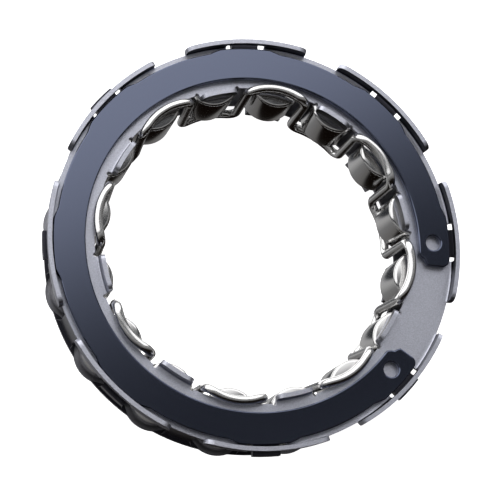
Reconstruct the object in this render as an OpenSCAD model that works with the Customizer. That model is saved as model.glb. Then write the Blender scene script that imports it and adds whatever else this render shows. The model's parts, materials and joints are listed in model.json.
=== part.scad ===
// Starter clutch: a ring of rollers in a pressed cage, with a meander spring,
// a front plate with rim tabs and a C-shaped retaining ring.
// The clutch axis is Z. The rear face lies at z = 0 and the retaining ring is in front, at +Z.

/* [Rollers] */
// Number of rollers, an even number
roller_count = 16; // [12:2:16]
// Roller diameter
roller_d = 9; // [8.4:0.1:9.4]
// Roller length
roller_length = 8.8; // [7:0.2:14]
// Radius of the rounded edge at each roller end
roller_edge_r = 0.5; // [0.2:0.1:0.9]
// Radius of the circle on which the roller axes lie
pitch_r = 28; // [27.6:0.1:29.2]
// How far each roller stands out of the cage posts
roller_proud = 0.5; // [0.3:0.1:0.9]
// Angle of the first roller
first_roller_deg = 14.65; // [0:0.05:22.5]

/* [Meander spring] */
// Thickness of the spring wire
wire_d = 1.2; // [0.8:0.1:1.3]
// Height of the bars' centre line outside the rollers' inner contact circle
bar_rise = 0.9; // [0.7:0.1:1.1]
// Distance from a front-arch roller's middle line to the centre of each bar
bar_offset = 4.37; // [4.2:0.02:4.5]
// Height of the front arches' crown outside the rollers' inner contact circle
front_crown_rise = 1.9; // [1.6:0.1:2.1]
// Height of the rear arches' crown outside the rollers' inner contact circle
rear_crown_rise = 1.6; // [1.4:0.1:1.8]
// Bend radius where an arch turns into a bar
elbow_r = 1; // [0.8:0.1:1.4]

/* [Cage] */
// Sheet thickness of the cage
cage_t = 0.65; // [0.5:0.05:0.9]
// How far the rear ring stands outside the posts
rear_rim = 0.6; // [0.3:0.1:1]
// Radius of the rounded lobe behind each roller
rear_lobe_r = 5.1; // [4.9:0.1:5.3]
// Width of each rear lip
rear_lip_w = 6.1; // [5:0.1:6.4]
// How far the lugs stand outside the rim tabs
lug_proud = 0.55; // [0.2:0.05:1]

/* [Front plate] */
// Sheet thickness of the front plate
plate_t = 0.7; // [0.5:0.05:1]
// Distance from the rollers' inner contact circle to the plate's bore edge
bore_rise = 2.6; // [2.4:0.1:3]
// Distance from the rollers' inner contact circle to the edge of each front lip
lip_rise = 1.2; // [0.9:0.1:1.6]
// Width of each front lip
front_lip_w = 6.2; // [5:0.1:7]
// Radius of the relief notch beside each front lip
relief_r = 0.35; // [0.2:0.05:0.5]
// How far the rim tabs stand outside the posts of the cage
rim_step = 1.55; // [1.4:0.05:2]
// Height of the rim tabs in front of the plate
rim_h = 1.8; // [1.6:0.1:2.6]
// Gap between neighbouring rim tabs
rim_gap = 5.9; // [4:0.1:7]
// Inner bend radius at the root of a rim tab
bend_r = 0.3; // [0.2:0.05:0.5]
// Rounding of the rim tabs' free corners
rim_corner_r = 0.9; // [0.5:0.1:1.2]
// How far the plate's edge stays inside the rim tabs' inner face, between the tabs
edge_inset = 0.05; // [0.05:0.05:0.3]
// Height of the slot in a rim tab, in front of the plate
slot_h = 0.7; // [0.4:0.05:0.9]

/* [Retaining ring] */
// Thickness of the retaining ring
ring_t = 1.4; // [1:0.1:1.6]
// Distance from the plate's bore edge to the ring's bore
ring_inset = 1.4; // [1:0.1:2]
// Height of the eight lobes on the ring
lobe_h = 0.7; // [0.4:0.05:0.9]
// Width across the top of a lobe
lobe_top_w = 6.8; // [5:0.1:7.2]
// Width of a lobe at its foot
lobe_foot_w = 11.2; // [9:0.1:12]
// Opening angle of the ring's gap
ring_gap_deg = 29.4; // [24:0.2:31]
// Diameter of the plier holes
plier_hole_d = 2.5; // [1.6:0.1:2.8]
// Distance from a ring end to its plier hole's centre
plier_hole_from_end = 3.5; // [2.6:0.1:5]
// Length of the step at a ring end's inner corner
ring_step_l = 1.2; // [0.6:0.1:1.6]
// Depth of the step at a ring end's inner corner
ring_step_w = 1.1; // [0.6:0.1:1.5]
// Rounding of a ring end's outer corner
ring_corner_r = 0.9; // [0.4:0.1:1.4]
// Chamfer on the ring's edges
ring_chamfer = 0.2; // [0.1:0.05:0.35]

/* [Clearances] */
// Between a roller's side and the nearest corner of a post
window_clear = 0.6; // [0.4:0.05:0.8]
// Between a roller's end and what stops it
end_clear = 0.15; // [0.1:0.05:0.3]
// Between a spring arch and the plate's face or the rear plane
arch_clear = 0.15; // [0.05:0.05:0.3]
// Between a lug and each side of its slot
slot_clear = 1.4; // [0.8:0.1:1.6]
// Between the ring's lobes and the rim tabs
ring_play = 0.3; // [0.1:0.05:0.5]

/* [Hidden] */
$fn = 96;
ARC_STEPS = 6;
CUT = 1;
// How far a relief notch cuts into the side of its lip
RELIEF_BITE = 0.12;
// The elbows are thicker than the wire by ELBOW_GROW, and arches and bars reach into them by WIRE_LAP
ELBOW_GROW = 0.02;
WIRE_LAP = 0.08;

pair_count = roller_count / 2;
roller_pitch_deg = 360 / roller_count;
pair_pitch_deg = 360 / pair_count;

// Heights, from the rear face to the front of the rim tabs
rear_arch_z = arch_clear + wire_d / 2;
roller_z = arch_clear + wire_d + end_clear;
plate_z = roller_z + roller_length + end_clear;
face_z = plate_z + plate_t;
front_arch_z = face_z + arch_clear + wire_d / 2;
rim_z = face_z + rim_h;

// Radii, from the bore outwards
contact_r = pitch_r - roller_d / 2;
bar_r = contact_r + bar_rise;
front_crown_r = contact_r + front_crown_rise;
rear_crown_r = contact_r + rear_crown_rise;
front_lip_r = contact_r + lip_rise;
bore_r = contact_r + bore_rise;
post_out_r = pitch_r + roller_d / 2 - roller_proud;
post_in_r = post_out_r - cage_t;
rear_r = post_out_r + rear_rim;
rim_r = post_out_r + rim_step;
rim_in_r = rim_r - plate_t;
bend_start_r = rim_in_r - bend_r;
edge_r = rim_in_r - edge_inset;
lug_r = rim_r + lug_proud;
slot_in_r = bend_start_r - bend_r;
ring_in_r = bore_r + ring_inset;
lobe_r = rim_in_r - ring_play;
ring_out_r = lobe_r - lobe_h;
plier_hole_r = (ring_in_r + ring_out_r) / 2;

// A window is as wide as leaves window_clear between its roller and the posts' inner corners
window_half_deg = acos(
    (post_in_r * post_in_r + pitch_r * pitch_r - pow(roller_d / 2 + window_clear, 2)) / (2 * post_in_r * pitch_r)
);
post_half_deg = roller_pitch_deg / 2 - window_half_deg;
lug_half_w = post_in_r * sin(post_half_deg);
slot_half_w = lug_half_w + slot_clear;
rim_half_deg = pair_pitch_deg / 2 - asin(rim_gap / 2 / rim_r);
bar_deg = asin(bar_offset / bar_r);

// The first lip roller, front-arch roller and rim tab
lip_deg = first_roller_deg;
arch_deg = first_roller_deg + roller_pitch_deg;
tab_deg = first_roller_deg - roller_pitch_deg / 2;
ring_gap_at_deg = tab_deg - pair_pitch_deg / 2;

function two_digits(i) = i < 10 ? str("0", i) : str(i);
function roller_name(i) = str("roller_", two_digits(i));
function roller_deg(i) = first_roller_deg + (i - 1) * roller_pitch_deg;

// Points of a quarter arc about a centre, from one angle to another
function arc_points(centre, r, from_deg, to_deg) = [
    for (i = [0:ARC_STEPS])
        let (a = from_deg + (to_deg - from_deg) * i / ARC_STEPS)
        centre + r * [cos(a), sin(a)]
];

// Repeats a shape on every second roller, counted from the angle given
module each_pair(start_deg) {
    for (i = [0:pair_count - 1]) {
        rotate(start_deg + i * pair_pitch_deg) children();
    }
}

// An arc of sheet: a section in r and z, swept to both sides of the X axis
module arc_sweep(half_deg) {
    rotate(-half_deg) rotate_extrude(angle = 2 * half_deg) children();
}

// What is cut from the corner of a plate that stands along X, to round a corner that points to +Y and +Z.
// Its three flats touch a circle of radius r.
module corner_cut(r, x_from, x_to, y, z) {
    centre = [y - r, z - r];
    side_r = r / cos(11.25);
    upper = centre + side_r * [cos(56.25), sin(56.25)];
    lower = centre + side_r * [cos(33.75), sin(33.75)];
    translate([x_from, 0, 0]) rotate([90, 0, 90]) linear_extrude(x_to - x_from) polygon([
        lower,
        upper,
        upper + 2 * r * [-cos(22.5), sin(22.5)],
        centre + 3 * r * [1, 1],
        lower + 2 * r * [sin(22.5), -cos(22.5)]
    ]);
}

// Section of the plate: its bore edge is rolled back, and its rim is bent forward into a wall
module plate_section() {
    bend_at = [bend_start_r, face_z + bend_r];
    polygon(concat(
        arc_points([front_lip_r + plate_t, plate_z], plate_t, 90, 180),
        arc_points(bend_at, bend_r + plate_t, -90, 0),
        [[rim_r, rim_z], [rim_in_r, rim_z]],
        arc_points(bend_at, bend_r, 0, -90)
    ));
}

// Outline of the bore: it goes round eight tongues, with a relief notch beside each
module bore_outline() {
    relief_x = sqrt(pow(bore_r, 2) - pow(front_lip_w / 2, 2));
    relief_y = front_lip_w / 2 + relief_r - RELIEF_BITE;
    difference() {
        circle(bore_r);
        each_pair(lip_deg) translate([0, -front_lip_w / 2]) square([bore_r + CUT, front_lip_w]);
    }
    each_pair(lip_deg) for (side = [-1, 1]) translate([relief_x, side * relief_y]) circle(relief_r);
}

module front_plate() {
    half_w = rim_r * sin(rim_half_deg);
    color("#9698a5")
    difference() {
        rotate_extrude() plate_section();
        translate([0, 0, plate_z - CUT]) linear_extrude(plate_t + 2 * CUT) bore_outline();
        each_pair(ring_gap_at_deg) arc_sweep(pair_pitch_deg / 2 - rim_half_deg)
            translate([edge_r, plate_z - CUT]) square([rim_r + CUT - edge_r, rim_z + 2 * CUT - plate_z]);
        each_pair(tab_deg) {
            for (side = [0, 1]) {
                mirror([0, side, 0]) corner_cut(rim_corner_r, slot_in_r - 2 * CUT, rim_r + CUT, half_w, rim_z);
            }
            translate([slot_in_r, -slot_half_w, plate_z - CUT])
                cube([lug_r - slot_in_r, 2 * slot_half_w, plate_t + slot_h + CUT]);
        }
    }
}

// Section of a lug: it leaves the post under the plate and fills the slot's height from there
module lug_section() {
    tongue_r = slot_in_r + end_clear;
    polygon([
        [post_in_r, plate_z - cage_t],
        [lug_r, plate_z - cage_t],
        [lug_r, face_z - end_clear],
        [tongue_r, face_z - end_clear],
        [tongue_r, plate_z],
        [post_in_r, plate_z]
    ]);
}

// A rear lip: a tongue of the rear ring whose edge stands up to the roller's end
module rear_lip() {
    lip_half_deg = asin(rear_lip_w / 2 / bore_r);
    arc_sweep(lip_half_deg) polygon([
        [front_lip_r, 0],
        [bore_r + CUT, 0],
        [bore_r + CUT, cage_t],
        [front_lip_r + cage_t, cage_t],
        [front_lip_r + cage_t, roller_z - end_clear],
        [front_lip_r, roller_z - end_clear]
    ]);
}

module roller_cage() {
    color("#55565c")
    union() {
        linear_extrude(cage_t) difference() {
            union() {
                circle(rear_r);
                for (i = [1:roller_count]) rotate(roller_deg(i)) translate([pitch_r, 0]) circle(rear_lobe_r);
            }
            circle(bore_r);
        }
        for (i = [1:roller_count]) {
            rotate(roller_deg(i) + roller_pitch_deg / 2) arc_sweep(post_half_deg)
                translate([post_in_r, 0]) square([cage_t, plate_z]);
        }
        each_pair(tab_deg) arc_sweep(post_half_deg) lug_section();
        each_pair(arch_deg) rear_lip();
    }
}

// Section of the plain ring, with chamfered edges
module ring_section() {
    c = ring_chamfer;
    polygon([
        [ring_in_r + c, 0], [ring_out_r - c, 0], [ring_out_r, c], [ring_out_r, ring_t - c],
        [ring_out_r - c, ring_t], [ring_in_r + c, ring_t], [ring_in_r, ring_t - c], [ring_in_r, c]
    ]);
}

// A low lobe on the ring's rim, with sloped shoulders
module ring_lobe() {
    foot_r = sqrt(pow(ring_out_r, 2) - pow(lobe_foot_w / 2, 2));
    top_r = sqrt(pow(lobe_r, 2) - pow(lobe_top_w / 2, 2));
    inner_r = foot_r - lobe_h;
    linear_extrude(ring_t) intersection() {
        circle(lobe_r);
        polygon([
            [inner_r, -lobe_foot_w / 2], [foot_r, -lobe_foot_w / 2], [top_r, -lobe_top_w / 2],
            [lobe_r + CUT, -lobe_top_w / 2], [lobe_r + CUT, lobe_top_w / 2], [top_r, lobe_top_w / 2],
            [foot_r, lobe_foot_w / 2], [inner_r, lobe_foot_w / 2]
        ]);
    }
}

// What is cut from a ring end that lies along X, with the ring at +Y
module ring_end_cut() {
    hole_deg = asin(plier_hole_from_end / plier_hole_r);
    tall = ring_t + 2 * CUT;
    translate([ring_in_r - CUT, -CUT, -CUT]) cube([ring_step_w + CUT, ring_step_l + CUT, tall]);
    difference() {
        translate([lobe_r - ring_corner_r, -CUT, -CUT]) cube([ring_corner_r + CUT, ring_corner_r + CUT, tall]);
        translate([lobe_r - ring_corner_r, ring_corner_r, -2 * CUT]) cylinder(r = ring_corner_r, h = tall + 2 * CUT);
    }
    rotate(hole_deg) translate([plier_hole_r, 0, -CUT]) cylinder(d = plier_hole_d, h = tall);
}

module retaining_ring() {
    half_gap = ring_gap_deg / 2;
    reach = lobe_r + 2 * CUT;
    color("#3c4152")
    translate([0, 0, face_z])
    difference() {
        union() {
            rotate_extrude() ring_section();
            each_pair(tab_deg) ring_lobe();
        }
        rotate(ring_gap_at_deg) {
            translate([0, 0, -CUT]) linear_extrude(ring_t + 2 * CUT) polygon([
                [0, 0],
                reach * [cos(half_gap), -sin(half_gap)],
                [reach / cos(half_gap), 0],
                reach * [cos(half_gap), sin(half_gap)]
            ]);
            for (side = [0, 1]) mirror([0, side, 0]) rotate(half_gap) ring_end_cut();
        }
    }
}

// One arch of the spring with the elbows at its two ends. Its crown is at crown_r on the X axis,
// its bars stand at bar_r, half_deg to each side, and turn_z is 1 for bars that go back from the arch.
module spring_arch(crown_r, half_deg, z, turn_z) {
    bar_x = bar_r * cos(half_deg);
    bar_y = bar_r * sin(half_deg);
    centre_x = (crown_r * crown_r + elbow_r * elbow_r - bar_r * bar_r) / (2 * (crown_r - bar_x));
    arch_r = crown_r - centre_x;
    end_deg = atan2(bar_y, bar_x - centre_x) - atan(elbow_r / arch_r);
    translate([centre_x, 0, z]) {
        arc_sweep(end_deg + asin(WIRE_LAP / arch_r)) translate([arch_r, 0]) circle(d = wire_d);
        for (side = [-1, 1]) rotate(side * end_deg) translate([arch_r, 0, -turn_z * elbow_r])
            rotate([90 * turn_z, 0, 90 * side]) rotate_extrude(angle = 90)
                translate([elbow_r, 0]) circle(d = wire_d + ELBOW_GROW);
    }
}

module meander_spring() {
    bar_from = rear_arch_z + elbow_r - WIRE_LAP;
    bar_to = front_arch_z - elbow_r + WIRE_LAP;
    color("#c9cacc")
    union() {
        each_pair(arch_deg) {
            spring_arch(front_crown_r, bar_deg, front_arch_z, 1);
            for (side = [-1, 1]) rotate(side * bar_deg) translate([bar_r, 0, bar_from])
                cylinder(d = wire_d, h = bar_to - bar_from);
        }
        each_pair(lip_deg) spring_arch(rear_crown_r, roller_pitch_deg - bar_deg, rear_arch_z, -1);
    }
}

// One roller with rounded end edges
module roller(i) {
    r = roller_d / 2;
    e = roller_edge_r;
    color("#8d8c8a")
    rotate(roller_deg(i)) translate([pitch_r, 0, roller_z]) rotate_extrude() polygon(concat(
        [[0, 0]],
        arc_points([r - e, e], e, -90, 0),
        arc_points([r - e, roller_length - e], e, 0, 90),
        [[0, roller_length]]
    ));
}

front_plate();
roller_cage();
retaining_ring();
meander_spring();
for (i = [1:roller_count]) {
    roller(i);
}
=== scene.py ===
"""Starter clutch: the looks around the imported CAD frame. Lengths are in metres and angles in degrees."""

import json
import math

import bmesh
import bpy
from mathutils import Matrix, Vector


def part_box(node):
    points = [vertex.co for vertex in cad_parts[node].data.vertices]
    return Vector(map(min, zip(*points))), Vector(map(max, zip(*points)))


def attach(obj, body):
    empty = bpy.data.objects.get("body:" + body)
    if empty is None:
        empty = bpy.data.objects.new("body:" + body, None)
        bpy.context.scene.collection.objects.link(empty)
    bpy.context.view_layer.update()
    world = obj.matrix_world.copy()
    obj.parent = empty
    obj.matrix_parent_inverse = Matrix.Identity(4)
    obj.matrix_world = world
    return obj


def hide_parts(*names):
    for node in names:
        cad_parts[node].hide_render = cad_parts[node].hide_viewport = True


MM = 0.001

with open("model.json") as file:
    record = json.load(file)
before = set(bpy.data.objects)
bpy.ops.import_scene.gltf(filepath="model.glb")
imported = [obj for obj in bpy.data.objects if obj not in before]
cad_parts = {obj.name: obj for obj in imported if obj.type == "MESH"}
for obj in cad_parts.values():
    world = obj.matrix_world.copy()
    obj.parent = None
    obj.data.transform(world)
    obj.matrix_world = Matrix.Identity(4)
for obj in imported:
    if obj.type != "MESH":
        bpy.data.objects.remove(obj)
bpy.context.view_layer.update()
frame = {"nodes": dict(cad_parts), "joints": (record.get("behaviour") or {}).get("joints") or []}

# Places that the frame gives
plate_low, plate_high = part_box("front_plate")
ring_low, ring_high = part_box("retaining_ring")
roller_low, roller_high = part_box("roller_01")
spins = [joint for joint in frame["joints"] if joint["name"].endswith("_spin")]
roller_axes = [Vector(joint["pos_m"]) for joint in spins]
roller_count = len(roller_axes)
roller_pitch = 360 / roller_count
pair_count = roller_count // 2
pair_pitch = 2 * roller_pitch
roller_r = (roller_high[0] - roller_low[0]) / 2
contact_r = roller_axes[0].to_2d().length - roller_r
first_roller = math.degrees(math.atan2(roller_axes[0].y, roller_axes[0].x))
first_tab = first_roller - roller_pitch / 2
ring_gap_at = first_tab - roller_pitch
face_z = ring_low[2]
rim_r = plate_high[0]
plate_t = face_z - plate_low[2]

# Camera: it looks at the middle of the plate's face, from the lower left of the clutch axis
CAMERA_DISTANCE = 330 * MM
CAMERA_TILT = 18.0
CAMERA_AZIMUTH = 227.5
CAMERA_ROLL = 0.3
CAMERA_LENS = 148.6
CAMERA_SENSOR = 36
CAMERA_SHIFT = (-0.011, -0.0132)
CAMERA_NEAREST = 10 * MM

# Studio: the world's brightness by how far a direction leans to its bright side, and one soft light
STUDIO_BRIGHT_SIDE = (-0.43, 1.0, 0.18)
STUDIO_STOPS = (
    (-0.42, (0.003, 0.002, 0.0015)),
    (-0.36, (0.085, 0.082, 0.080)),
    (-0.07, (0.13, 0.13, 0.132)),
    (0.08, (0.25, 0.25, 0.25)),
    (0.13, (0.25, 0.25, 0.255)),
    (0.17, (0.02, 0.022, 0.025)),
    (0.25, (0.012, 0.013, 0.015)),
    (0.29, (0.10, 0.102, 0.105)),
    (0.338, (0.95, 0.95, 0.96)),
    (1.0, (1.0, 1.0, 1.0)),
)
STUDIO_STRENGTH = 1.85
NEAR_LIGHT_AT = (-45 * MM, 85 * MM, 75 * MM)
NEAR_LIGHT_SIDE = 70 * MM
NEAR_LIGHT_POWER = 0.012

# Floor, which lies a little below the clutch and reaches this far to each side
FLOOR_REACH = 2.0
FLOOR_DROP = 0.02 * MM
FLOOR_GREY = 0.9
FLOOR_ROUGHNESS = 0.9
FLOOR_SPECULAR = 0.1
FLOOR_GLOW = 1.1

# Steels: grain is the depth of a fine bump, and mottle how far the colour varies. The last look is painted
# shade: a near-black colour that stands for the shade the rim casts on its tabs' and lips' inner faces and
# the lug fronts.
STEELS = {
    "plate": {"color": (0.45, 0.46, 0.52), "roughness": 0.4, "grain": 0.04 * MM, "mottle": 0.34},
    "cage": {"color": (0.24, 0.24, 0.26), "roughness": 0.34, "grain": 0.02 * MM, "mottle": 0.3},
    "ring": {"color": (0.100, 0.113, 0.160), "roughness": 0.15},
    "spring": {"color": (0.66, 0.655, 0.65), "roughness": 0.2},
    "roller": {"color": (0.60, 0.595, 0.59), "roughness": 0.13},
    # Painted shade: near-black for the faces that lie in the shade of the rim
    "rim_painted_shade": {"color": (0.045, 0.045, 0.055), "roughness": 0.35, "grain": 0.03 * MM},
}
GRAIN_SIZE = 0.2 * MM
GRAIN_DETAIL = 3
GRAIN_STRENGTH = 0.6

# Meander spring. A rise is a distance outside the circle that the rollers touch on the hub.
WIRE_D = 1.45 * MM
WIRE_RESOLUTION = 6
REAR_CLEAR = 0.03 * MM
FRONT_BAR_RISE = 1.45 * MM
REAR_BAR_RISE = 0.95 * MM
BAR_OFFSET = 4.75 * MM
FRONT_CROWN_RISE = 2.25 * MM
REAR_CROWN_RISE = 1.25 * MM
FRONT_ARCH_H = 1.4 * MM
ELBOW_R = 1.6 * MM
ELBOW_STEPS = 8
ARCH_STEPS = 24

# Rollers
ROLLER_EDGE_R = 0.5 * MM
ROLLER_SIDES = 96
ROLLER_EDGE_STEPS = 6

# Front plate. Its lips and its rim tabs are bent forward from the flat.
BORE_RISE = 2.4 * MM
LIP_RISE = 1.55 * MM
LIP_H = 2.05 * MM
LIP_HALF_W = 3.05 * MM
LIP_CORNER = 0.9 * MM
LIP_ROWS = 3
RELIEF_R = 0.35 * MM
TAB_H = 2.15 * MM
TAB_GAP = 5.9 * MM
TAB_CORNER = 1.1 * MM
SLOT_IN = 1.3 * MM
SLOT_H = 1.0 * MM
SLOT_HALF_W = 3.25 * MM
BEND_R = 0.65 * MM
BEND_STEPS = 5
EDGE_INSET = 0.05 * MM
EDGE_ROUND = 0.13 * MM
EDGE_ROUND_STEPS = 3
FLAT_ROW_IN = 1.5 * MM
FLAT_STEP_DEG = 1.5
MARK_DIGITS = 4

# Shares of the radius of a corner or a relief at which the plate's profile is worked out
CORNER_SHARES = (0, 0.06, 0.2, 0.45, 1)
RELIEF_SHARES = (0.15, 0.5, 1, 1.5, 1.85, 2)

# Retaining ring, which lies a little off the axis. A point of its step is given by how far it lies back
# from the end and out from the bore.
RING_OFFSET = (-0.3 * MM, -0.15 * MM)
RING_INSET = 1.0 * MM
RING_W = 4.65 * MM
LOBE_H = 0.5 * MM
LOBE_TOP_DEG = 7.4
LOBE_FOOT_DEG = 10.6
RING_GAP_DEG = 29.6
RING_HOLE_D = 2.5 * MM
RING_HOLE_FROM_END = 3.8 * MM
RING_HOLE_SIDES = 36
RING_STEP = (
    (1.7 * MM, 0.0),
    (1.15 * MM, 0.5 * MM),
    (0.95 * MM, 0.95 * MM),
    (0.35 * MM, 1.25 * MM),
    (0.0, 1.6 * MM),
)
RING_CORNER = 1.2 * MM
RING_CORNER_STEPS = 6
RING_ROUND = 0.2 * MM
RING_ROUND_STEPS = 3
RING_OUTER_STEP_DEG = 0.375
RING_INNER_STEP_DEG = 1.5

# Meshes: a slope is how squarely a face looks one way, 1 at the most
WELD = 0.001 * MM
CAD_SHARP_DEG = 30
SHARP_DEG = 40
FLAT_SLOPE = 0.999
SHADED_SLOPE = 0.8
LUG_DEPTH = 1.5 * MM

# Places that follow from the frame and these sizes
bore_r = contact_r + BORE_RISE
lip_r = contact_r + LIP_RISE
ring_out_r = rim_r - plate_t - RING_INSET
ring_in_r = ring_out_r - RING_W
tab_half_w = rim_r * math.sin(math.radians(roller_pitch) - math.asin(TAB_GAP / 2 / rim_r))


def polar(r, deg, z=0.0):
    """The point at radius r and angle deg about the clutch axis."""
    return Vector((r * math.cos(math.radians(deg)), r * math.sin(math.radians(deg)), z))


def beside(deg, middle, pitch):
    """The signed angle from the nearest of a row of middles, spaced by pitch."""
    return (deg - middle + pitch / 2) % pitch - pitch / 2


def quarter_turn(steps):
    """The angles of a quarter turn in equal steps, in radians."""
    return [math.radians(90 * step / steps) for step in range(steps + 1)]


def steel(name, color, roughness, grain=0.0, mottle=0.0):
    """A metal material with one of the looks above."""
    mat = bpy.data.materials.new(name)
    mat.use_nodes = True
    nodes = mat.node_tree.nodes
    links = mat.node_tree.links
    shader = nodes["Principled BSDF"]
    shader.inputs["Base Color"].default_value = (*color, 1)
    shader.inputs["Roughness"].default_value = roughness
    shader.inputs["Metallic"].default_value = 1
    if grain or mottle:
        place = nodes.new("ShaderNodeTexCoord")
        noise = nodes.new("ShaderNodeTexNoise")
        noise.inputs["Scale"].default_value = 1 / GRAIN_SIZE
        noise.inputs["Detail"].default_value = GRAIN_DETAIL
        links.new(place.outputs["Object"], noise.inputs["Vector"])
    if mottle:
        ramp = nodes.new("ShaderNodeMapRange")
        ramp.inputs["To Min"].default_value = 1 - mottle
        ramp.inputs["To Max"].default_value = 1 + mottle
        tint = nodes.new("ShaderNodeVectorMath")
        tint.operation = "SCALE"
        tint.inputs[0].default_value = color
        links.new(noise.outputs["Fac"], ramp.inputs["Value"])
        links.new(ramp.outputs["Result"], tint.inputs["Scale"])
        links.new(tint.outputs["Vector"], shader.inputs["Base Color"])
    if grain:
        bump = nodes.new("ShaderNodeBump")
        bump.inputs["Distance"].default_value = grain
        bump.inputs["Strength"].default_value = GRAIN_STRENGTH
        links.new(noise.outputs["Fac"], bump.inputs["Height"])
        links.new(bump.outputs["Normal"], shader.inputs["Normal"])
    return mat


def dress(node, mat):
    """Gives a CAD node its material, smooths its curved faces and returns it."""
    obj = frame["nodes"][node]
    obj.data.materials.clear()
    obj.data.materials.append(mat)
    obj.data.shade_smooth()
    obj.data.set_sharp_from_angle(angle=math.radians(CAD_SHARP_DEG))
    return obj


def shade(obj, mat, is_shaded):
    """Paints shade: gives a second material, the painted shade, to those faces of a piece for which
    is_shaded holds.
    """
    obj.data.materials.append(mat)
    for face in obj.data.polygons:
        if is_shaded(face):
            face.material_index = 1


def on_lug_front(face):
    """Whether a face of the cage is the front of a lug, which stands in the slot of a tab and gets painted
    shade.
    """
    return face.normal.z > SHADED_SLOPE and face.center.to_2d().length > rim_r - LUG_DEPTH


def looks_inward(face):
    """Whether a face of the plate lies ahead of the flat and looks at the axis, and so gets painted shade.
    """
    inward = -face.normal.to_2d().dot(face.center.to_2d().normalized())
    return inward > SHADED_SLOPE and face.center.z > face_z


def new_mesh(name, verts, faces, mat):
    """A mesh object with smooth faces and sharp edges."""
    mesh = bpy.data.meshes.new(name)
    mesh.from_pydata(verts, [], faces)
    mesh.validate()
    mesh.shade_smooth()
    mesh.set_sharp_from_angle(angle=math.radians(SHARP_DEG))
    obj = bpy.data.objects.new(name, mesh)
    bpy.context.collection.objects.link(obj)
    mesh.materials.append(mat)
    return obj


def keep_modified(obj):
    """Replaces a piece's mesh by what its modifiers make of it."""
    shown = obj.evaluated_get(bpy.context.evaluated_depsgraph_get())
    mesh = bpy.data.meshes.new_from_object(shown)
    obj.modifiers.clear()
    obj.data = mesh


def add_loop(curve, path):
    """Adds a closed line through the points of a path to a curve."""
    spline = curve.splines.new("POLY")
    spline.points.add(len(path) - 1)
    for point, at in zip(spline.points, path):
        point.co = (*at, 1)
    spline.use_cyclic_u = True
    spline.use_smooth = True


def lathe(name, profile, centre, mat):
    """A closed solid turned about the vertical line through centre, from (r, z) points."""
    verts = []
    for side in range(ROLLER_SIDES):
        verts += [centre + polar(r, 360 * side / ROLLER_SIDES, z) for r, z in profile]
    row = len(profile)
    faces = []
    for side in range(ROLLER_SIDES):
        here = side * row
        beyond = (side + 1) % ROLLER_SIDES * row
        for step in range(row - 1):
            faces.append((here + step, beyond + step, beyond + step + 1, here + step + 1))
    faces.append([side * row for side in reversed(range(ROLLER_SIDES))])
    faces.append([side * row + row - 1 for side in range(ROLLER_SIDES)])
    return new_mesh(name, verts, faces, mat)


def roller_profile():
    """(r, z) points of a roller, from its rear end to its front end, with rounded end edges."""
    edge_r = roller_r - ROLLER_EDGE_R
    rear_z = roller_low[2] + ROLLER_EDGE_R
    front_z = roller_high[2] - ROLLER_EDGE_R
    turn = quarter_turn(ROLLER_EDGE_STEPS)
    reach = [(ROLLER_EDGE_R * math.cos(angle), ROLLER_EDGE_R * math.sin(angle)) for angle in turn]
    rear = [(edge_r + out, rear_z - along) for out, along in reversed(reach)]
    return rear + [(edge_r + out, front_z + along) for out, along in reach]


def spring_arch(crown_r, bar_r, half_deg, z, turn_z, at_deg):
    """Centre line of one arch of the spring with its two elbows, from one bar to the next.

    The bars stand at bar_r, half_deg to each side of at_deg. They leave the arch rearward where turn_z
    is 1 and forward where it is -1.
    """
    bar_x = bar_r * math.cos(math.radians(half_deg))
    bar_y = bar_r * math.sin(math.radians(half_deg))
    centre_x = (crown_r**2 + ELBOW_R**2 - bar_r**2) / (2 * (crown_r - bar_x))
    arch_r = crown_r - centre_x
    end_deg = math.degrees(math.atan2(bar_y, bar_x - centre_x) - math.atan(ELBOW_R / arch_r))

    def elbow(side, angle):
        """A point of the elbow on one side of the arch: at angle 0 it is on the bar."""
        back = turn_z * ELBOW_R * (1 - math.sin(angle))
        point = Vector((arch_r, side * ELBOW_R * math.cos(angle), -back))
        return Matrix.Rotation(math.radians(side * end_deg), 3, "Z") @ point

    turn = quarter_turn(ELBOW_STEPS)
    points = [elbow(-1, angle) for angle in turn]
    points += [polar(arch_r, end_deg * (2 * step / ARCH_STEPS - 1)) for step in range(1, ARCH_STEPS)]
    points += [elbow(1, angle) for angle in reversed(turn)]
    place = Matrix.Rotation(math.radians(at_deg), 3, "Z")
    return [place @ (point + Vector((centre_x, 0, z))) for point in points]


def meander_spring(mat):
    """The closed spring as a round wire along its centre line, behind one roller and before the next."""
    front_bar_r = contact_r + FRONT_BAR_RISE
    front_crown_r = contact_r + FRONT_CROWN_RISE
    rear_bar_r = contact_r + REAR_BAR_RISE
    rear_crown_r = contact_r + REAR_CROWN_RISE
    front_half = math.degrees(math.asin(BAR_OFFSET / rear_bar_r))
    rear_half = roller_pitch - front_half
    front_z = face_z + FRONT_ARCH_H
    rear_z = roller_low[2] - REAR_CLEAR - WIRE_D / 2
    path = []
    for pair in range(pair_count):
        rear_at = first_roller + pair * pair_pitch
        front_at = rear_at + roller_pitch
        path += spring_arch(rear_crown_r, rear_bar_r, rear_half, rear_z, -1, rear_at)
        path += spring_arch(front_crown_r, front_bar_r, front_half, front_z, 1, front_at)
    curve = bpy.data.curves.new("spring_wire", "CURVE")
    curve.dimensions = "3D"
    curve.bevel_depth = WIRE_D / 2
    curve.bevel_resolution = WIRE_RESOLUTION
    add_loop(curve, path)
    obj = bpy.data.objects.new("spring_wire", curve)
    bpy.context.collection.objects.link(obj)
    curve.materials.append(mat)
    return obj


def round_off(distance, r):
    """How much a corner of radius r takes off at a distance from the end of an edge."""
    inside = min(max(distance, 0.0), r)
    return r - math.sqrt(r**2 - (r - inside) ** 2)


def end_stations(half_w, corner_r):
    """Places across a tongue of a half width, close together where its corners round it."""
    left = [-half_w + corner_r * share for share in CORNER_SHARES]
    return left + [-y for y in reversed(left)]


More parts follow.
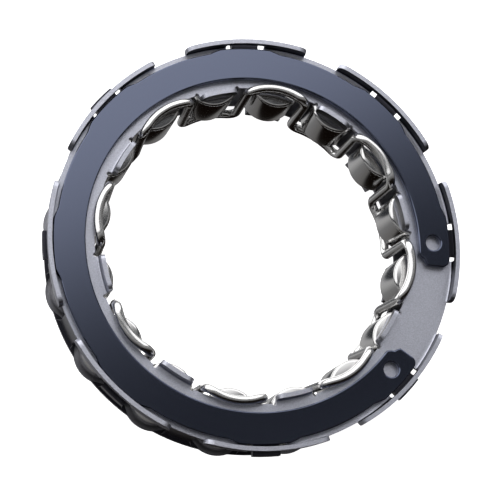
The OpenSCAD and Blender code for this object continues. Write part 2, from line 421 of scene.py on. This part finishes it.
def plate_marks():
    """The plate's angles at which its profile changes, with some more along the flat between them."""
    lip_ys = end_stations(LIP_HALF_W, LIP_CORNER)
    relief_ys = [LIP_HALF_W + share * RELIEF_R for share in RELIEF_SHARES]
    lip_ys += relief_ys + [-y for y in relief_ys]
    tab_ys = end_stations(tab_half_w, TAB_CORNER) + [-SLOT_HALF_W, SLOT_HALF_W]
    marks = []
    for pair in range(pair_count):
        lip_at = first_roller + pair * pair_pitch
        tab_mid = first_tab + pair * pair_pitch
        marks += [lip_at + math.degrees(math.asin(y / bore_r)) for y in lip_ys]
        marks += [tab_mid + math.degrees(math.asin(y / rim_r)) for y in tab_ys]
        marks += [tab_mid + step * FLAT_STEP_DEG for step in range(int(pair_pitch / FLAT_STEP_DEG))]
    return sorted(set(round(deg % 360, MARK_DIGITS) for deg in marks))


def plate_profile(deg, cell_deg):
    """Runs of (r, z) points along the middle of the sheet at one angle, for the cell around cell_deg."""
    mid_z = face_z - plate_t / 2
    wall_r = rim_r - plate_t / 2
    bend = [(math.cos(angle), math.sin(angle)) for angle in quarter_turn(BEND_STEPS)]
    lip_y = bore_r * abs(math.sin(math.radians(beside(deg, first_roller, pair_pitch))))
    cell_lip_y = bore_r * abs(math.sin(math.radians(beside(cell_deg, first_roller, pair_pitch))))
    tab_y = rim_r * abs(math.sin(math.radians(beside(deg, first_tab, pair_pitch))))
    cell_tab_y = rim_r * abs(math.sin(math.radians(beside(cell_deg, first_tab, pair_pitch))))

    lip = []
    if cell_lip_y < LIP_HALF_W:
        top = face_z + LIP_H - round_off(LIP_HALF_W - lip_y, LIP_CORNER)
        foot = mid_z + BEND_R
        lip = [(lip_r, top + (foot - top) * row / LIP_ROWS) for row in range(LIP_ROWS)]
        lip += [(lip_r + BEND_R * (1 - cos), foot - BEND_R * sin) for cos, sin in bend]

    relief = 0.0
    past_lip = lip_y - LIP_HALF_W
    if 0 < past_lip < 2 * RELIEF_R:
        relief = math.sqrt(RELIEF_R**2 - (past_lip - RELIEF_R) ** 2)
    flat = [(bore_r + relief, mid_z), (bore_r + FLAT_ROW_IN, mid_z), (rim_r - SLOT_IN, mid_z)]
    if cell_tab_y > tab_half_w:
        return [lip + flat + [(rim_r - plate_t - EDGE_INSET, mid_z)]]

    top = face_z + TAB_H - round_off(tab_half_w - tab_y, TAB_CORNER)
    wall = [(wall_r, face_z + SLOT_H), (wall_r, (face_z + SLOT_H + top) / 2), (wall_r, top)]
    if cell_tab_y < SLOT_HALF_W:
        return [lip + flat, wall]
    root = [(wall_r - BEND_R * (1 - sin), mid_z + BEND_R * (1 - cos)) for cos, sin in bend]
    return [lip + flat + root + wall]


def front_plate(mat, painted_shade_mat):
    """The pressed plate: a sheet with eight lips and eight rim tabs, thickened and with rounded edges."""
    verts = []
    faces = []
    places = {}

    def vertex(r, deg, z):
        """The number of the vertex at a place, which neighbouring cells share."""
        at = polar(r, deg, z)
        key = tuple(round(c / WELD) for c in at)
        if key not in places:
            places[key] = len(verts)
            verts.append(at)
        return places[key]

    marks = plate_marks()
    for start, end in zip(marks, marks[1:] + [marks[0] + 360]):
        middle = (start + end) / 2
        for start_run, end_run in zip(plate_profile(start, middle), plate_profile(end, middle)):
            start_row = [vertex(r, start, z) for r, z in start_run]
            end_row = [vertex(r, end, z) for r, z in end_run]
            for step in range(len(start_row) - 1):
                face = [start_row[step], start_row[step + 1], end_row[step + 1], end_row[step]]
                if len(set(face)) > 2:
                    faces.append(list(dict.fromkeys(face)))
    obj = new_mesh("front_plate_pressed", verts, faces, mat)
    thick = obj.modifiers.new("sheet", "SOLIDIFY")
    thick.thickness = plate_t
    thick.offset = 0
    thick.use_even_offset = True
    edges = obj.modifiers.new("edges", "BEVEL")
    edges.width = EDGE_ROUND
    edges.segments = EDGE_ROUND_STEPS
    edges.limit_method = "ANGLE"
    edges.angle_limit = math.radians(SHARP_DEG)
    edges.harden_normals = True
    keep_modified(obj)
    # Painted shade: the inward faces of the tabs and lips get the near-black look
    shade(obj, painted_shade_mat, looks_inward)
    return obj


def ring_outer(deg):
    """The ring's outer radius at an angle: a lobe behind each tab, with sloped shoulders."""
    away = abs(beside(deg, first_tab, pair_pitch))
    share = (LOBE_FOOT_DEG - away) / (LOBE_FOOT_DEG - LOBE_TOP_DEG)
    return ring_out_r + LOBE_H * min(max(share, 0), 1)


def ring_outline():
    """The ring's outline, from one end round to the other and back along its bore."""
    first = ring_gap_at + RING_GAP_DEG / 2
    last = ring_gap_at - RING_GAP_DEG / 2 + 360
    end_r = ring_outer(first)
    corner_deg = math.degrees(RING_CORNER / end_r)
    corner = []
    for angle in quarter_turn(RING_CORNER_STEPS):
        corner.append((end_r - RING_CORNER * (1 - math.sin(angle)), corner_deg * (1 - math.cos(angle))))
    step = [(ring_in_r + deep, math.degrees(along / ring_in_r)) for along, deep in RING_STEP]
    step_deg = step[0][1]

    outer_span = last - first - 2 * corner_deg
    outer_steps = int(outer_span / RING_OUTER_STEP_DEG)
    inner_span = last - first - 2 * step_deg
    inner_steps = int(inner_span / RING_INNER_STEP_DEG)
    outer_degs = [first + corner_deg + outer_span * k / outer_steps for k in range(1, outer_steps)]
    inner_degs = [last - step_deg - inner_span * k / inner_steps for k in range(1, inner_steps)]

    points = [polar(r, first + deg) for r, deg in corner]
    points += [polar(ring_outer(deg), deg) for deg in outer_degs]
    points += [polar(r, last - deg) for r, deg in reversed(corner)]
    points += [polar(r, last - deg) for r, deg in reversed(step)]
    points += [polar(ring_in_r, deg) for deg in inner_degs]
    points += [polar(r, first + deg) for r, deg in step]
    return points


def plier_hole(side):
    """The round outline of the plier hole near one end of the ring."""
    hole_r = (ring_in_r + ring_out_r + LOBE_H / 2) / 2
    hole_deg = RING_GAP_DEG / 2 + math.degrees(RING_HOLE_FROM_END / hole_r)
    middle = polar(hole_r, ring_gap_at + side * hole_deg)
    return [middle + polar(RING_HOLE_D / 2, 360 * k / RING_HOLE_SIDES) for k in range(RING_HOLE_SIDES)]


def retaining_ring(mat):
    """The C ring with its lobes, stepped end corners and plier holes: a filled outline, edges rounded."""
    half_t = (ring_high[2] - ring_low[2]) / 2
    curve = bpy.data.curves.new("ring_outline", "CURVE")
    curve.dimensions = "2D"
    curve.fill_mode = "BOTH"
    curve.extrude = half_t - RING_ROUND
    curve.bevel_depth = RING_ROUND
    curve.bevel_resolution = RING_ROUND_STEPS
    curve.offset = -RING_ROUND
    for loop in (ring_outline(), plier_hole(-1), plier_hole(1)):
        add_loop(curve, loop)
    outline = bpy.data.objects.new("ring_outline", curve)
    mesh = bpy.data.meshes.new_from_object(outline)
    bpy.data.objects.remove(outline)
    obj = bpy.data.objects.new("retaining_ring_stamped", mesh)
    bpy.context.collection.objects.link(obj)
    whole = bmesh.new()
    whole.from_mesh(mesh)
    bmesh.ops.remove_doubles(whole, verts=whole.verts, dist=WELD)
    bmesh.ops.translate(whole, verts=whole.verts, vec=(*RING_OFFSET, ring_low[2] + half_t))
    for face in whole.faces:
        face.smooth = True
        if abs(face.normal.z) > FLAT_SLOPE:
            for edge in face.edges:
                edge.smooth = False
    whole.to_mesh(mesh)
    whole.free()
    mesh.materials.clear()
    mesh.materials.append(mat)
    return obj


def add_camera():
    """The photograph's view: the image's up is close to +Y."""
    tilt = math.radians(CAMERA_TILT)
    toward = polar(math.sin(tilt), CAMERA_AZIMUTH, math.cos(tilt))
    right = polar(1, 90 + CAMERA_ROLL).cross(toward).normalized()
    up = toward.cross(right)
    data = bpy.data.cameras.new("camera")
    data.lens = CAMERA_LENS
    data.sensor_width = CAMERA_SENSOR
    data.shift_x, data.shift_y = CAMERA_SHIFT
    data.clip_start = CAMERA_NEAREST
    camera = bpy.data.objects.new("camera", data)
    bpy.context.collection.objects.link(camera)
    turn = Matrix((right, up, toward)).transposed().to_4x4()
    aim = Vector((0, 0, face_z))
    camera.matrix_world = Matrix.Translation(aim + CAMERA_DISTANCE * toward) @ turn
    bpy.context.scene.camera = camera


def add_floor():
    """A plain white floor, which the clutch doesn't mirror."""
    mat = bpy.data.materials.new("floor")
    mat.use_nodes = True
    shader = mat.node_tree.nodes["Principled BSDF"]
    shader.inputs["Base Color"].default_value = (FLOOR_GREY, FLOOR_GREY, FLOOR_GREY, 1)
    shader.inputs["Roughness"].default_value = FLOOR_ROUGHNESS
    shader.inputs["Specular IOR Level"].default_value = FLOOR_SPECULAR
    shader.inputs["Emission Color"].default_value = (1, 1, 1, 1)
    shader.inputs["Emission Strength"].default_value = FLOOR_GLOW
    signs = ((-1, -1), (1, -1), (1, 1), (-1, 1))
    corners = [Vector((x * FLOOR_REACH, y * FLOOR_REACH, 0)) for x, y in signs]
    floor = new_mesh("floor", corners, [(0, 1, 2, 3)], mat)
    floor.location.z = -FLOOR_DROP
    floor.visible_glossy = False
    floor.visible_diffuse = False


def add_studio():
    """A studio round the clutch that is brightest over its upper left and dark below."""
    world = bpy.data.worlds.new("studio")
    world.use_nodes = True
    nodes = world.node_tree.nodes
    links = world.node_tree.links
    place = nodes.new("ShaderNodeTexCoord")
    toward = nodes.new("ShaderNodeVectorMath")
    toward.operation = "DOT_PRODUCT"
    toward.inputs[1].default_value = Vector(STUDIO_BRIGHT_SIDE).normalized()
    share = nodes.new("ShaderNodeMapRange")
    share.inputs["From Min"].default_value = -1
    ramp = nodes.new("ShaderNodeValToRGB")
    ramp.color_ramp.interpolation = "LINEAR"
    stops = ramp.color_ramp.elements
    while len(stops) < len(STUDIO_STOPS):
        stops.new(0.5)
    for stop, (lean, color) in zip(stops, STUDIO_STOPS):
        stop.position = (lean + 1) / 2
        stop.color = (*color, 1)
    links.new(place.outputs["Generated"], toward.inputs[0])
    links.new(toward.outputs["Value"], share.inputs["Value"])
    links.new(share.outputs["Result"], ramp.inputs["Fac"])
    links.new(ramp.outputs["Color"], nodes["Background"].inputs["Color"])
    nodes["Background"].inputs["Strength"].default_value = STUDIO_STRENGTH
    bpy.context.scene.world = world
    bpy.context.scene.view_settings.view_transform = "Standard"


def add_near_light():
    """A soft light that points at the clutch from close by, out of the camera's sight."""
    data = bpy.data.lights.new("near_softbox", "AREA")
    data.shape = "SQUARE"
    data.size = NEAR_LIGHT_SIDE
    data.energy = NEAR_LIGHT_POWER
    light = bpy.data.objects.new("near_softbox", data)
    bpy.context.collection.objects.link(light)
    light.location = NEAR_LIGHT_AT
    light.rotation_euler = (-Vector(NEAR_LIGHT_AT)).to_track_quat("-Z", "Y").to_euler()
    light.visible_camera = False


add_camera()
add_floor()
add_studio()
add_near_light()

steels = {name: steel(name, **look) for name, look in STEELS.items()}

cage = dress("roller_cage", steels["cage"])
# Painted shade: the lug fronts in the tabs' slots get the near-black look
shade(cage, steels["rim_painted_shade"], on_lug_front)

plate = front_plate(steels["plate"], steels["rim_painted_shade"])
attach(plate, "clutch")
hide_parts("front_plate")

ring = retaining_ring(steels["ring"])
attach(ring, "clutch")
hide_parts("retaining_ring")

spring = meander_spring(steels["spring"])
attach(spring, "roller_set")
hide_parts("meander_spring")

for index, axis in enumerate(roller_axes):
    name = "roller_%02d" % (index + 1)
    middle = Vector((axis.x, axis.y, 0))
    roller = lathe(name + "_ground", roller_profile(), middle, steels["roller"])
    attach(roller, name + "_body")
    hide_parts(name)
